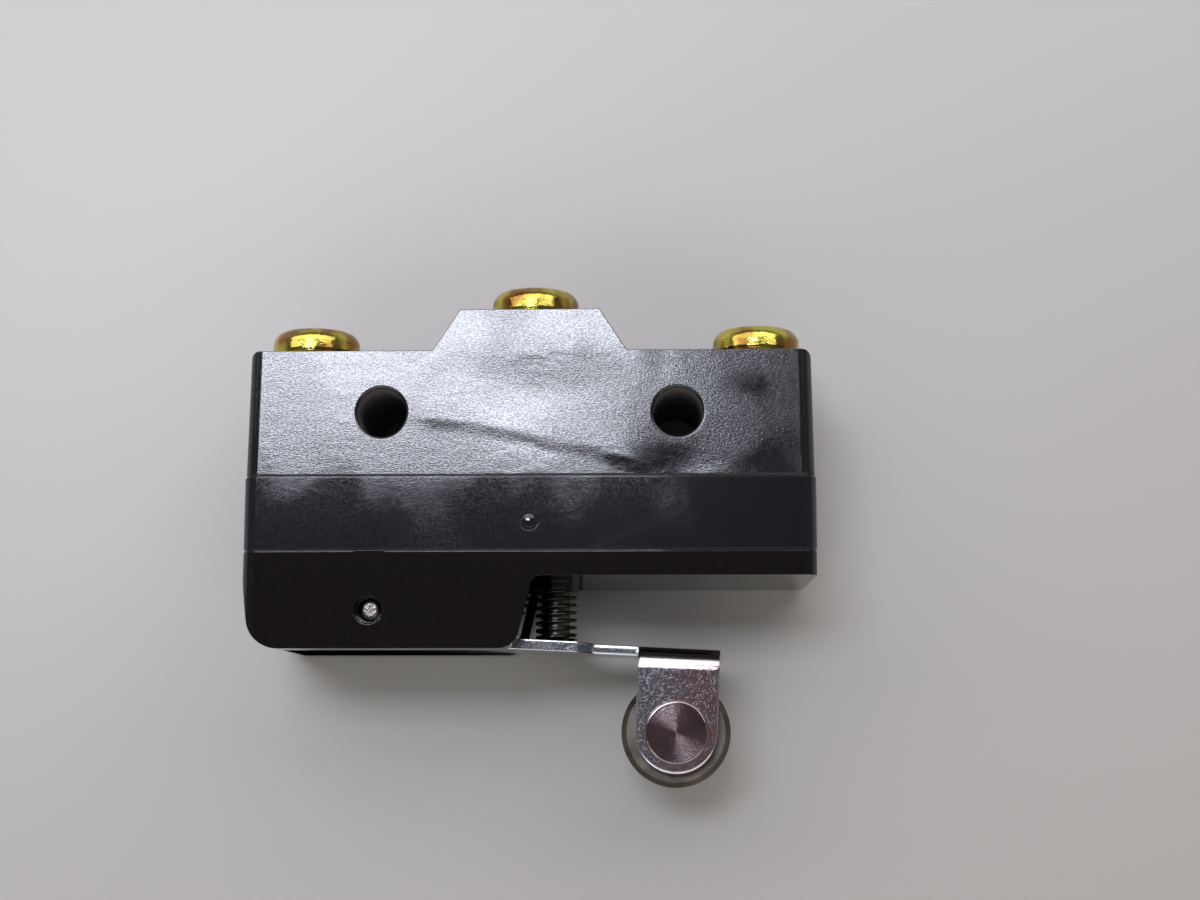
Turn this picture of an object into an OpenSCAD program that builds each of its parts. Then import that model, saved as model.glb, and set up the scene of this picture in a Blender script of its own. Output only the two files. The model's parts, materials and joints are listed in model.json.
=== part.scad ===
// Large snap-action lever switch with a hinged roller lever and screw terminals.
// It lies on its broad side: X runs along the housing, Y points from the lever to
// the terminals, Z is the thickness. The origin is midway between the two
// mounting holes, on the back face.

/* [Housing] */
// Length of the contact case, the longest moulding
body_len = 49; // [46:0.5:52]
// Thickness of all three mouldings
body_t = 17.45; // [16.5:0.05:19]
// Radius on the four upright corners of the housing
edge_r = 1.2; // [0.8:0.1:2]
// How much shorter the terminal base is than the case
base_step = 0.2; // [0:0.05:0.6]
// Draft of the terminal base at each end, from the case to the shoulders
base_draft = 0.2; // [0:0.05:0.5]
// Shoulders above the line of the mounting holes
shoulder_up = 5.4; // [5:0.1:7]
// Hump that carries the middle terminal, above the shoulders
hump_rise = 3.6; // [2.8:0.1:5]
// Width of the hump at its top
hump_top = 12; // [11:0.2:14]
// Width of the hump at the shoulders
hump_foot = 16.7; // [15:0.1:18]
// Terminal base below the line of the mounting holes
base_down = 5.5; // [5.3:0.1:7]
// Height of the contact case
case_h = 6.35; // [6.2:0.05:8]
// Thickness of the cover
cover_t = 2.15; // [1.8:0.05:3]
// Radius on the outer corners of the shoulders
shoulder_r = 0.8; // [0.2:0.1:1.2]
// Width of the fine groove at the parting lines
seam_w = 0.12; // [0.05:0.01:0.3]
// Depth of the fine groove at the parting lines
seam_d = 0.1; // [0.05:0.01:0.3]
// Wall of the housing round the contact chamber
wall = 2.4; // [2:0.1:3]
// Inner corner radius of the contact chamber
chamber_r = 1; // [0.5:0.1:2]
// Floor between the mounting holes and the contact chamber
floor_t = 1.5; // [1.2:0.1:1.8]
// Height of the locating rims that key the mouldings together
rim_h = 0.8; // [0.4:0.1:1.2]
// Thickness of the locating rims
rim_t = 1; // [0.6:0.1:1.4]
// Outer diameter of the round mould mark on the case
mark_d = 1.7; // [1.2:0.1:2.4]
// Width of the ring groove of the mould mark
mark_groove = 0.3; // [0.15:0.05:0.4]
// Depth of that groove
mark_depth = 0.15; // [0.05:0.05:0.3]
// Radius of the dome in its middle
mark_dome_r = 1.6; // [1:0.1:3]
// Mould mark above the cover joint
mark_up = 2.5; // [1.8:0.1:3.4]

/* [Mounting holes] */
// Distance between the mounting holes
hole_pitch = 25.4; // [25:0.1:26]
// Diameter of the mounting holes
hole_d = 4.2; // [4:0.1:4.6]
// Rounding at both mouths of the mounting holes
hole_mouth_r = 0.25; // [0.1:0.05:0.4]

/* [Lever holder] */
// Depth of the holder below the cover
holder_drop = 6.15; // [5.8:0.05:7.5]
// Right-hand edge of the holder where it leaves the cover
holder_right = 0.3; // [-0.5:0.1:0.8]
// How far that edge slants back over its depth
holder_slant = 1.45; // [0:0.05:2]
// How far the left end leans in over its depth
holder_lean = 0.85; // [0.2:0.05:1.2]
// Side walls of the holder
holder_wall = 3.35; // [2.6:0.05:3.6]
// End wall of the holder
holder_end = 3.2; // [2.4:0.1:3.6]
// Rounding at the foot of the end wall
holder_end_r = 2.8; // [1:0.1:3.5]
// Rounding at the foot of the slanted edge
holder_nose_r = 1.8; // [0.6:0.1:2.4]
// Fillet between the slanted edge and the cover
holder_fillet_r = 1; // [0.4:0.1:1.4]
// Diameter of the sunk ring round each pin end
pin_ring_d = 2.3; // [2.3:0.1:3.2]
// Depth of that ring
pin_ring_depth = 1.4; // [0.3:0.1:1.8]
// Width of the faint slot that runs from the ring to the cover joint
pin_slot_w = 2.6; // [2.5:0.1:3.4]
// Depth of that slot
pin_slot_depth = 0.1; // [0.05:0.01:0.2]
// Width of the rest stop that the tail of the free lever bears on
stop_w = 1.3; // [0.8:0.1:1.6]

/* [Lever] */
// Pivot to the left of the middle of the housing
pivot_left = 13.6; // [13.2:0.1:14.2]
// Pivot below the cover
pivot_drop = 2.85; // [2.7:0.05:3.4]
// Angle of the free lever, measured down from the housing
free_angle = 2.8; // [2:0.1:3.5]
// Pivot to the roller axis, along the lever
lever_arm = 26.55; // [25.5:0.05:28]
// Roller axis below the middle of the sheet
roller_drop = 6.85; // [6.6:0.01:8]
// Middle of the sheet below the pivot
lever_offset = 2.15; // [2.1:0.01:2.6]
// Thickness of the lever sheet
lever_t = 0.9; // [0.7:0.05:1]
// Width of the lever inside the holder
lever_w = 10; // [9:0.1:10.2]
// Width of the neck that leads to the roller yoke
neck_w = 5.4; // [4.4:0.1:6]
// Clearance between the tail of the lever and the end wall of the holder
tail_gap = 0.4; // [0.3:0.05:1]
// Wide part of the lever beyond the pivot
wide_len = 17.7; // [17:0.1:18.6]
// Length of the taper from the wide part to the neck
taper_len = 1.3; // [0.8:0.1:2]
// Inner radius of the folds of the pivot lugs
fold_r = 0.4; // [0.2:0.05:0.6]
// Inner radius of the folds of the yoke ears
ear_fold_r = 0.9; // [0.4:0.05:1.2]
// Width of the pivot lugs
lug_w = 4.2; // [3.8:0.1:4.6]
// Width of the yoke ears
ear_w = 7.1; // [6.8:0.1:8]

/* [Roller] */
// Diameter of the roller
roller_d = 9.5; // [9:0.1:10]
// Width of the roller
roller_w = 4.8; // [4.4:0.1:5.2]
// Chamfer on the rim of the roller
roller_chamfer = 0.45; // [0.2:0.05:0.8]
// Width of the flat face ring beside each ear
roller_hub_d = 6.6; // [6:0.1:7]
// Depth of the relief outside that ring
roller_relief = 0.15; // [0.05:0.05:0.3]
// Gap between the roller and each ear
roller_gap = 0.15; // [0.1:0.05:0.3]
// Shank diameter of the roller rivet
rivet_d = 3; // [2.6:0.1:3.4]
// Head diameter of the roller rivet
rivet_head_d = 5.5; // [4.8:0.1:6]
// Head height of the roller rivet
rivet_head_h = 0.55; // [0.4:0.05:0.8]
// Diameter of the upset end of the roller rivet
rivet_tail_d = 4.4; // [3.8:0.1:5]

/* [Pivot pin] */
// Diameter of the pivot pin
pin_d = 2; // [1.8:0.1:2.2]
// Radius of the rounding at its ends
pin_end_r = 0.5; // [0.3:0.05:0.8]

/* [Plunger and spring] */
// Plunger to the right of the middle of the housing
plunger_right = 1.95; // [1.8:0.05:2.2]
// Diameter of the plunger stem
plunger_d = 2.4; // [2:0.1:2.5]
// Diameter of the collar that keeps the plunger in the cover
collar_d = 4.6; // [4:0.1:5]
// Thickness of that collar
collar_t = 0.8; // [0.6:0.1:1.2]
// Radius of the dome on the plunger
dome_r = 2; // [1.6:0.1:3]
// Diameter of the boss round the plunger
boss_d = 4.8; // [4.6:0.1:5.2]
// Height of the boss
boss_h = 0.7; // [0.5:0.05:1]
// Depth of the spring seat, measured from the face of the boss
seat_depth = 1; // [0.6:0.05:1.4]
// Outer diameter of the return spring
spring_d = 3.7; // [3.6:0.05:3.8]
// Wire diameter of the return spring
wire_d = 0.32; // [0.25:0.01:0.4]
// Turns of the return spring
turns = 8.5; // [7:0.5:9]

/* [Terminals] */
// End screws from the middle of the housing
screw_x = 19.9; // [19.7:0.1:20.2]
// Depth of the terminal wells
well_depth = 0.9; // [0.6:0.1:1.4]
// Width of the terminal wells
well_w = 9.6; // [9.2:0.1:11]
// Thickness of the terminal plates
plate_t = 0.8; // [0.6:0.05:1]
// Width of the terminal plates
plate_w = 8.8; // [8.4:0.1:9]
// Width of the legs and feet of the terminals
leg_w = 6; // [5:0.1:7]
// Outer ends of the end plates from their screws
plate_reach = 4.1; // [3.8:0.1:4.2]
// Legs of the end terminals from their screws
leg_in = 3.6; // [3.5:0.1:3.7]
// Leg of the middle terminal from its screw
middle_leg = 3.5; // [3.3:0.1:5]
// Thread diameter of the terminal screws
screw_d = 4; // [3.5:0.1:4]
// Head diameter of the terminal screws
head_d = 7.8; // [7:0.1:8.4]
// Head height of the terminal screws
head_h = 2.65; // [2.4:0.05:3.4]
// Rounding at the top of the screw heads
head_r = 1.2; // [0.5:0.1:1.7]
// Rounding at the foot of the screw heads
head_foot_r = 0.8; // [0.3:0.1:0.9]
// Length of the terminal screws under the head
screw_len = 7; // [5:0.1:7.5]
// Width of the cross recess and the slot
recess_w = 0.9; // [0.7:0.05:1.1]
// Length of the cross recess
recess_len = 4.2; // [3.4:0.1:4.6]
// Depth of the cross recess
recess_depth = 1.6; // [1:0.1:2]
// Side of the square clamping washers
washer_w = 8.2; // [7.6:0.1:8.6]
// Thickness of the clamping washers
washer_t = 0.75; // [0.6:0.05:0.9]
// Turned-down lips of the washers: depth of their cut corners
washer_cut = 1.4; // [0.8:0.1:2]

/* [Contacts] */
// Moving contact from the middle of the housing
contact_x = 13; // [12.4:0.1:13.4]
// Diameter of the contact buttons
contact_d = 3.2; // [2.8:0.1:3.6]
// Diameter of the contact shanks
contact_shank_d = 1.5; // [1.2:0.1:1.8]
// Thickness of each half of the moving contact
button_t = 0.75; // [0.6:0.05:0.9]
// Height of the normally closed contact
closed_h = 1.2; // [1:0.05:1.4]
// Contact travel
contact_gap = 0.8; // [0.5:0.05:1]
// Foot of the normally closed terminal above the cover
closed_foot_up = 1.25; // [1:0.05:1.6]
// Thickness of the snap blade
blade_t = 0.25; // [0.2:0.01:0.3]
// Width of the snap blade
blade_w = 6; // [5:0.1:6.4]
// Width of the tension leg in the middle of the blade
tension_w = 2; // [1.6:0.1:2.4]
// Slots between the legs of the blade
slot_w = 0.4; // [0.3:0.05:0.6]
// Rise of the bowed compression legs
bow = 1.2; // [0.8:0.1:1.5]
// Blade beyond the moving contact
blade_end = 2.1; // [1.9:0.1:2.2]
// Fork of the blade legs behind the moving contact
blade_fork = 3.4; // [2.6:0.1:4]
// Bearing posts of the anchor from the middle of the housing
post_x = 6.2; // [5.8:0.1:7]
// Thickness of the bearing posts
post_t = 1.5; // [1.2:0.1:1.8]
// Rear end of the anchor from the middle of the housing
anchor_x = 15.6; // [15.2:0.1:15.7]
// Length of the seat that the blade is riveted to
seat_len = 3; // [2.6:0.1:3.4]
// Diameter of the anchor rivet
anchor_rivet_d = 1.6; // [1.2:0.1:2]

/* [Fits] */
// Clearance all round between keyed mouldings
key_gap = 0.1; // [0.05:0.01:0.15]
// Running clearance on the radius of pins and the plunger
run_gap = 0.05; // [0.03:0.01:0.08]
// Clearance on the radius of riveted and pressed shanks
press_gap = 0.02; // [0.01:0.01:0.04]
// Clearance round moulded-in metal
insert_gap = 0.05; // [0.03:0.01:0.1]
// Clearance of the screw threads in their pockets
thread_gap = 0.2; // [0.1:0.05:0.3]
// Play between touching parts that move against each other
touch_gap = 0.04; // [0.02:0.01:0.1]

/* [Hidden] */
$fn = 64;
eps = 0.5;
hair = 1.0005;

black = "#17171c";
brass = "#c9a44a";
gold = "#d8b93c";
steel = "#c9ccd0";
silver = "#e2e4e6";

// Levels along Y, from the terminals down to the lever
mid_z = body_t / 2;
hump_y = shoulder_up + hump_rise;
base_y = -base_down;
case_y = base_y - case_h;
cover_y = case_y - cover_t;
holder_y = cover_y - holder_drop;
floor_y = -hole_d / 2 - floor_t;

// Half lengths of the mouldings
case_x = body_len / 2;
base_x = case_x - base_step / 2;
chamber_x = case_x - wall - 0.8;
holder_foot_x = -case_x + holder_lean;
channel_x = -case_x + holder_end;

// Terminals
ledge_y = shoulder_up - well_depth;
hump_ledge_y = hump_y - well_depth;
plate_up = plate_t + washer_t;
foot_y = floor_y - key_gap;
foot_under = foot_y - plate_t;
closed_foot_y = case_y + closed_foot_up;
end_leg_x = screw_x - leg_in;

// Contacts, stacked from the normally closed contact upwards
closed_face_y = closed_foot_y + plate_t + closed_h;
blade_y = closed_face_y + touch_gap + button_t + blade_t / 2;
moving_top_y = blade_y + blade_t / 2 + button_t;
open_face_y = moving_top_y + contact_gap + touch_gap;
open_h = foot_under - open_face_y;
fork_x = contact_x - blade_fork;
side_leg_w = (blade_w - tension_w) / 2 - slot_w;

// Lever frame: origin at the pivot, X along the free lever
pivot = [-pivot_left, cover_y - pivot_drop];
tail_len = pivot[0] - channel_x - tail_gap;
sheet_top = -lever_offset + lever_t / 2;
roller_at = [lever_arm, -lever_offset - roller_drop];
yoke_w = roller_w + 2 * (roller_gap + lever_t);
bend_r = fold_r + lever_t / 2;
ear_bend_r = ear_fold_r + lever_t / 2;

// Height of the free lever's upper face over the middle of the plunger
plunger_arm = plunger_right + pivot_left;
lever_top_y = pivot[1] - plunger_arm * tan(free_angle) + sheet_top / cos(free_angle);
dome_y = lever_top_y + touch_gap + dome_r * (1 / cos(free_angle) - 1);
boss_y = cover_y - boss_h;
seat_y = boss_y + seat_depth;
coil_r = (spring_d - wire_d) / 2;
spring_low = lever_top_y + spring_d / 2 * tan(free_angle) + touch_gap;
stop_y = pivot[1] + (tail_len * sin(free_angle) + sheet_top * cos(free_angle)) + touch_gap;

// ---------------------------------------------------------------- helpers

// Extrudes a section drawn in X and Z between two levels of Y
module run_y(from, to) {
    translate([0, to, 0]) rotate([90, 0, 0]) linear_extrude(to - from) children();
}

// Round bar along Y
module bar_y(x, from, to, d) {
    translate([x, from, mid_z]) rotate([-90, 0, 0]) cylinder(h = to - from, d = d);
}

// Turned part along Y: the profile gives radius and height above `from`
module turned_y(x, from) {
    translate([x, from, mid_z]) rotate([-90, 0, 0]) rotate_extrude() children();
}

// Plate centred on the middle plane and drawn in X and Y
module slab(width) {
    translate([0, 0, mid_z - width / 2]) linear_extrude(width) children();
}

// What lies between the corner p, with edges at angles a1 and a2, and the arc
// that touches both edges. It is cut from a corner or added to a recess. The arc
// is a hair larger than it has to be, so that it meets the edges at clean points.
module web(p, a1, a2, r) {
    half = (a2 - a1) / 2;
    b = [cos((a1 + a2) / 2), sin((a1 + a2) / 2)];
    c = p + b * r / sin(half);
    t1 = p + [cos(a1), sin(a1)] * r / tan(half);
    t2 = p + [cos(a2), sin(a2)] * r / tan(half);
    over = r * 0.2;
    difference() {
        polygon([c, t1, t1 - b * over, p - b * over * 2, t2 - b * over, t2]);
        translate(c) circle(r * hair);
    }
}

// Rectangle with round corners, from two opposite corners
module round_rect(a, b, r) {
    difference() {
        translate(a) square(b - a);
        web(a, 0, 90, r);
        web([b[0], a[1]], 90, 180, r);
        web(b, 180, 270, r);
        web([a[0], b[1]], 270, 360, r);
    }
}

// Outer section of the housing, drawn in X and Z
module housing_section(half_len, inset = 0) {
    round_rect([-half_len + inset, inset], [half_len - inset, body_t - inset], edge_r - inset);
}

// Housing between two levels of Y whose ends lean in by `lean` degrees, from the
// lower level on
module leaning_housing(from, to, half_len, lean) {
    reach = to - from;
    intersection_for(side = [-1, 1])
        translate([side * half_len, from, 0]) rotate(side * lean)
            translate([-side * half_len, -from, 0])
                run_y(from - reach, to + reach) translate([-side * body_len, 0])
                    housing_section(half_len + body_len);
}

// Section of the contact chamber, or of what fits in it
module chamber_section(inset = 0) {
    round_rect([-chamber_x + inset, wall + inset],
               [chamber_x - inset, body_t - wall - inset], max(chamber_r - inset, 0.2));
}

// Band of sheet along a path of straight runs, with round bends of radius r
// at its middle line
module bent_sheet(path, t, r) {
    last = len(path) - 1;
    dir = [for (i = [0:last - 1]) (path[i + 1] - path[i]) / norm(path[i + 1] - path[i])];
    turn = [for (i = [0:last]) i == 0 || i == last ? 0 :
        asin(dir[i - 1][0] * dir[i][1] - dir[i - 1][1] * dir[i][0])];
    cut = [for (i = [0:last]) r * tan(abs(turn[i]) / 2)];
    for (i = [0:last - 1]) {
        n = [-dir[i][1], dir[i][0]] * t / 2;
        p = path[i] + dir[i] * cut[i];
        q = path[i + 1] - dir[i] * cut[i + 1];
        polygon([p - n, q - n, q + n, p + n]);
    }
    for (i = [1:last - 1]) {
        side = sign(turn[i]);
        t1 = path[i] - dir[i - 1] * cut[i];
        t2 = path[i] + dir[i] * cut[i];
        c = t1 + side * r * [-dir[i - 1][1], dir[i - 1][0]];
        intersection() {
            translate(c) difference() {
                circle(r + t / 2);
                circle(r - t / 2);
            }
            polygon([c, c + (t1 - c) * 2, c + (path[i] - c) * 2, c + (t2 - c) * 2]);
        }
    }
}

// ---------------------------------------------------------------- mouldings

module base_outline(lean) {
    top_x = base_x - base_draft;
    difference() {
        polygon([
            [-base_x, base_y], [base_x, base_y], [top_x, shoulder_up],
            [hump_foot / 2, shoulder_up], [hump_top / 2, hump_y],
            [-hump_top / 2, hump_y], [-hump_foot / 2, shoulder_up], [-top_x, shoulder_up]
        ]);
        web([-top_x, shoulder_up], 270 - lean, 360, shoulder_r);
        web([top_x, shoulder_up], 180, 270 + lean, shoulder_r);
    }
}

// Well, screw pocket and leg slot of one terminal, cut from the base. Both mouths
// of the slot are rounded where the strip bends: over the ledge towards the screw,
// and under the floor to the side foot_side.
module terminal_pocket(x, ledge, from_x, to_x, leg_x, foot_side) {
    half = plate_t / 2 + insert_gap;
    mouth_r = plate_t / 2 + 2 * insert_gap;
    screw_side = sign(x - leg_x);
    translate([from_x, ledge, mid_z - well_w / 2])
        cube([to_x - from_x, well_depth + eps, well_w]);
    bar_y(x, ledge + plate_up - screw_len - eps, ledge + eps, screw_d + 2 * thread_gap);
    slab(leg_w + 2 * insert_gap) {
        translate([leg_x - half, floor_y - eps])
            square([2 * half, ledge - floor_y + 2 * eps]);
        translate([leg_x + screw_side * half, ledge])
            mirror([screw_side < 0 ? 1 : 0, 0]) web([0, 0], 270, 360, mouth_r);
        translate([leg_x + foot_side * half, floor_y])
            mirror([foot_side < 0 ? 1 : 0, 0]) web([0, 0], 0, 90, mouth_r);
    }
}

module terminal_base() {
    well_in = screw_x - plate_reach - 0.5;
    lean = atan2(base_draft, shoulder_up - base_y);
    color(black) difference() {
        intersection() {
            linear_extrude(body_t) base_outline(lean);
            leaning_housing(base_y, hump_y, base_x, lean);
            union() {
                run_y(base_y + seam_w, hump_y) housing_section(base_x);
                run_y(base_y, base_y + seam_w) housing_section(base_x, seam_d);
            }
        }
        for (side = [-1, 1])
            translate([side * hole_pitch / 2, 0, 0]) mounting_hole();
        terminal_pocket(-screw_x, ledge_y, -body_len, -well_in, -end_leg_x, 1);
        terminal_pocket(screw_x, ledge_y, well_in, body_len, end_leg_x, -1);
        terminal_pocket(0, hump_ledge_y, -hump_foot, hump_foot, middle_leg, 1);
        run_y(base_y - eps, floor_y) chamber_section();
        run_y(base_y - eps, base_y + rim_h + key_gap) chamber_section(-rim_t - key_gap);
    }
}

// Bore through the base, with a rounded mouth at each face
module mounting_hole() {
    translate([0, 0, -eps]) cylinder(h = body_t + 2 * eps, d = hole_d);
    rotate_extrude() {
        web([hole_d / 2, 0], 0, 90, hole_mouth_r);
        web([hole_d / 2, body_t], 270, 360, hole_mouth_r);
    }
}

module contact_case() {
    color(black) difference() {
        union() {
            run_y(case_y + seam_w, base_y - seam_w) housing_section(case_x);
            run_y(case_y, base_y) housing_section(case_x, seam_d);
            run_y(base_y - seam_w, base_y + rim_h) chamber_section(-rim_t);
        }
        run_y(case_y - eps, base_y + rim_h + eps) chamber_section();
        mould_mark();
    }
}

// Ring groove on the front of the case, round a domed centre
module mould_mark() {
    translate([0, case_y + mark_up, body_t]) difference() {
        translate([0, 0, -mark_depth]) cylinder(h = mark_depth + eps, d = mark_d);
        intersection() {
            translate([0, 0, -eps]) cylinder(h = 2 * eps, d = mark_d - 2 * mark_groove);
            translate([0, 0, -mark_dome_r]) sphere(mark_dome_r);
        }
    }
}

module cover_outline() {
    side = atan2(holder_y - cover_y, -holder_slant);
    lean = atan2(-holder_drop, holder_lean);
    difference() {
        union() {
            polygon([
                [-case_x, case_y], [case_x - base_step / 2, case_y],
                [case_x - base_step / 2, cover_y], [holder_right, cover_y],
                [holder_right - holder_slant, holder_y],
                [holder_foot_x, holder_y], [-case_x, cover_y]
            ]);
            web([holder_right, cover_y], side, 0, holder_fillet_r);
        }
        web([holder_right - holder_slant, holder_y], 180 + side, 180, holder_nose_r);
        web([holder_foot_x, holder_y], 0, 180 + lean, holder_end_r);
    }
}

// Channel between the two side walls of the holder, and the rest stop in it
module lever_channel() {
    slab(body_t - 2 * holder_wall) difference() {
        translate([channel_x, holder_y - eps])
            square([holder_right + holder_fillet_r + eps - channel_x, cover_y - holder_y + eps]);
        translate([channel_x - eps, stop_y]) square([stop_w + eps, cover_y - stop_y + eps]);
    }
}

// Sunk ring and faint slot at one face of the holder, which lies at Z = 0
module pin_entry() {
    translate([pivot[0], pivot[1], -pin_ring_depth])
        cylinder(h = pin_ring_depth + eps, d = pin_ring_d);
    translate([pivot[0], pivot[1], -pin_slot_depth]) linear_extrude(pin_slot_depth + eps) union() {
        circle(d = pin_slot_w);
        translate([-pin_slot_w / 2, 0]) square([pin_slot_w, case_y - pivot[1] + eps]);
    }
}

module lever_cover() {
    color(black) difference() {
        union() {
            difference() {
                intersection() {
                    linear_extrude(body_t) cover_outline();
                    union() {
                        run_y(holder_y, case_y - seam_w) housing_section(case_x);
                        run_y(case_y - seam_w, case_y) housing_section(case_x, seam_d);
                    }
                }
                lever_channel();
            }
            bar_y(plunger_right, boss_y, cover_y + eps, boss_d);
            run_y(case_y - seam_w, case_y + rim_h) difference() {
                chamber_section(key_gap);
                chamber_section(key_gap + rim_t);
            }
            contact_rib();
        }
        bar_y(plunger_right, boss_y - eps, case_y + eps, plunger_d + 2 * run_gap);
        bar_y(plunger_right, boss_y - eps, seat_y, spring_d + 2 * key_gap + 0.1);
        translate([pivot[0], pivot[1], -eps])
            cylinder(h = body_t + 2 * eps, d = pin_d + 2 * press_gap);
        translate([0, 0, body_t]) pin_entry();
        mirror([0, 0, 1]) pin_entry();
    }
}

// Rib on the cover that backs the normally closed contact
module contact_rib() {
    translate([contact_x - contact_d / 2, case_y - seam_w, mid_z - leg_w / 2])
        cube([contact_d, closed_foot_up + seam_w - insert_gap, leg_w]);
}

// ---------------------------------------------------------------- terminals

// Screw plate, leg and foot folded from one strip, with a tapped hole
module terminal(x, ledge, out_x, leg_x, foot_level, foot_x, hole_x) {
    mid_plate = ledge + plate_t / 2;
    mid_foot = foot_level - plate_t / 2;
    bend = plate_t;
    color(brass) difference() {
        union() {
            slab(leg_w) bent_sheet([
                [x, mid_plate], [leg_x, mid_plate], [leg_x, mid_foot], [foot_x, mid_foot]
            ], plate_t, bend);
            run_y(ledge, ledge + plate_t)
                round_rect([min(x, out_x), mid_z - plate_w / 2],
                           [max(x, out_x) , mid_z + plate_w / 2], 0.6);
            run_y(ledge, ledge + plate_t)
                round_rect([min(x - plate_t * 3, leg_x + bend * sign(x)), mid_z - plate_w / 2],
                           [max(x + plate_t * 3, leg_x + bend * sign(x)), mid_z + plate_w / 2], 0.3);
        }
        bar_y(x, ledge - eps, ledge + plate_t + eps, screw_d + 2 * press_gap);
        bar_y(hole_x, foot_level - plate_t - eps, foot_level + eps,
              (hole_x < 0 ? anchor_rivet_d : contact_shank_d) + 2 * press_gap);
    }
}

module common_terminal() {
    terminal(-screw_x, ledge_y, -screw_x - plate_reach, -end_leg_x, foot_y,
             -post_x, -anchor_x + seat_len / 2);
}

module open_terminal() {
    terminal(0, hump_ledge_y, -plate_reach, middle_leg, foot_y,
             contact_x + contact_d / 2, contact_x);
}

module closed_terminal() {
    terminal(screw_x, ledge_y, screw_x + plate_reach, end_leg_x, closed_foot_y + plate_t,
             contact_x - contact_d / 2 - 0.6, contact_x);
}

// Domed screw with a cross recess and a slot
module terminal_screw(x, ledge) {
    under = ledge + plate_up;
    color(gold) difference() {
        turned_y(x, under) union() {
            difference() {
                square([head_d / 2, head_h]);
                web([head_d / 2, head_h], 180, 270, head_r);
                web([head_d / 2, 0], 90, 180, head_foot_r);
            }
            translate([0, -screw_len]) difference() {
                square([screw_d / 2, screw_len + eps]);
                web([screw_d / 2, 0], 90, 180, 0.5);
            }
        }
        for (turned = [0, 90])
            translate([x, under + head_h - recess_depth, mid_z]) rotate([0, turned, 0])
                translate([-recess_len / 2, 0, -recess_w / 2])
                    cube([recess_len, recess_depth + eps, recess_w]);
        translate([x - head_d / 2 - eps, under + head_h - recess_depth / 2, mid_z - recess_w / 2])
            cube([head_d + 2 * eps, recess_depth, recess_w]);
    }
}

// Square washer with cut corners, held under the screw head
module clamp_washer(x, ledge) {
    half = washer_w / 2;
    color(gold) difference() {
        run_y(ledge + plate_t, ledge + plate_up) translate([x, mid_z]) polygon([
            for (k = [0:3], s = [0, 1])
                let (c = cos(90 * k), w = sin(90 * k), u = half, v = (half - washer_cut) * (2 * s - 1))
                [u * c - v * w, u * w + v * c]
        ]);
        bar_y(x, ledge, ledge + plate_up + eps, screw_d + 2 * insert_gap);
    }
}

// ---------------------------------------------------------------- contacts

// Button with its shank riveted in a terminal foot
module fixed_contact(from, height, shank_from, shank_to) {
    color(silver) union() {
        bar_y(contact_x, from, from + height, contact_d);
        bar_y(contact_x, shank_from, shank_to, contact_shank_d);
    }
}

module open_contact() {
    fixed_contact(open_face_y, open_h, open_face_y, foot_y);
}

module closed_contact() {
    fixed_contact(closed_foot_y + plate_t, closed_h, closed_foot_y, closed_face_y);
}

module moving_contact() {
    hold = blade_t / 2 + touch_gap / 2;
    color(silver) union() {
        bar_y(contact_x, blade_y - hold - button_t, blade_y - hold, contact_d);
        bar_y(contact_x, blade_y + hold, blade_y + hold + button_t, contact_d);
        bar_y(contact_x, blade_y - hold - 0.1, blade_y + hold + 0.1, contact_shank_d);
    }
}

// Folded bracket that the blade is riveted to, with two notched bearing posts
module blade_anchor() {
    top = foot_under;
    seat = blade_y + blade_t / 2;
    post_y = blade_y - blade_t * 3;
    notch = blade_t * 3;
    color(brass) difference() {
        union() {
            slab(blade_w) polygon([
                [-anchor_x, top], [-post_x, top], [-post_x, top - plate_t],
                [-anchor_x + seat_len, top - plate_t], [-anchor_x + seat_len, seat],
                [-anchor_x, seat]
            ]);
            difference() {
                slab(blade_w) difference() {
                    translate([-post_x - post_t, post_y]) square([post_t, top - post_y]);
                    polygon([[-post_x - notch, blade_y], [-post_x + eps, blade_y + notch],
                             [-post_x + eps, blade_y - notch]]);
                }
                slab(tension_w + 2 * slot_w)
                    translate([-post_x - post_t - eps, post_y - eps])
                        square([post_t + 2 * eps, top - plate_t - post_y + eps]);
            }
        }
        bar_y(-anchor_x + seat_len / 2, seat - eps, top + eps, anchor_rivet_d + 2 * press_gap);
    }
}

// Three-leg snap blade: a straight tension leg between two bowed compression legs
module snap_blade() {
    tip = -post_x - blade_t;
    half_span = (fork_x - tip) / 2;
    arc_r = (half_span * half_span + bow * bow) / (2 * bow);
    arc_c = [tip + half_span, blade_y - arc_r + bow];
    color("#b87333") difference() {
        union() {
            slab(tension_w) translate([-anchor_x, blade_y - blade_t / 2])
                square([fork_x + anchor_x + eps, blade_t]);
            for (side = [-1, 1])
                translate([0, 0, side * (blade_w - side_leg_w) / 2]) slab(side_leg_w)
                    intersection() {
                        translate(arc_c) difference() {
                            circle(arc_r + blade_t / 2, $fn = 180);
                            circle(arc_r - blade_t / 2, $fn = 180);
                        }
                        polygon([arc_c, [tip, blade_y] * 2 - arc_c, [tip, hump_y],
                                 [fork_x, hump_y], [fork_x, blade_y] * 2 - arc_c]);
                    }
            run_y(blade_y - blade_t / 2, blade_y + blade_t / 2)
                round_rect([fork_x - blade_t / 2, mid_z - blade_w / 2],
                           [contact_x + blade_end, mid_z + blade_w / 2], 0.4);
        }
        bar_y(contact_x, blade_y - eps, blade_y + eps, contact_shank_d + 2 * insert_gap);
        bar_y(-anchor_x + seat_len / 2, blade_y - eps, blade_y + eps,
              anchor_rivet_d + 2 * press_gap);
    }
}

module anchor_rivet() {
    x = -anchor_x + seat_len / 2;
    under = blade_y - blade_t / 2;
    color(brass) union() {
        bar_y(x, under - blade_t, foot_y, anchor_rivet_d);
        bar_y(x, under - blade_t * 2, under, anchor_rivet_d * 1.5);
    }
}

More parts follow.
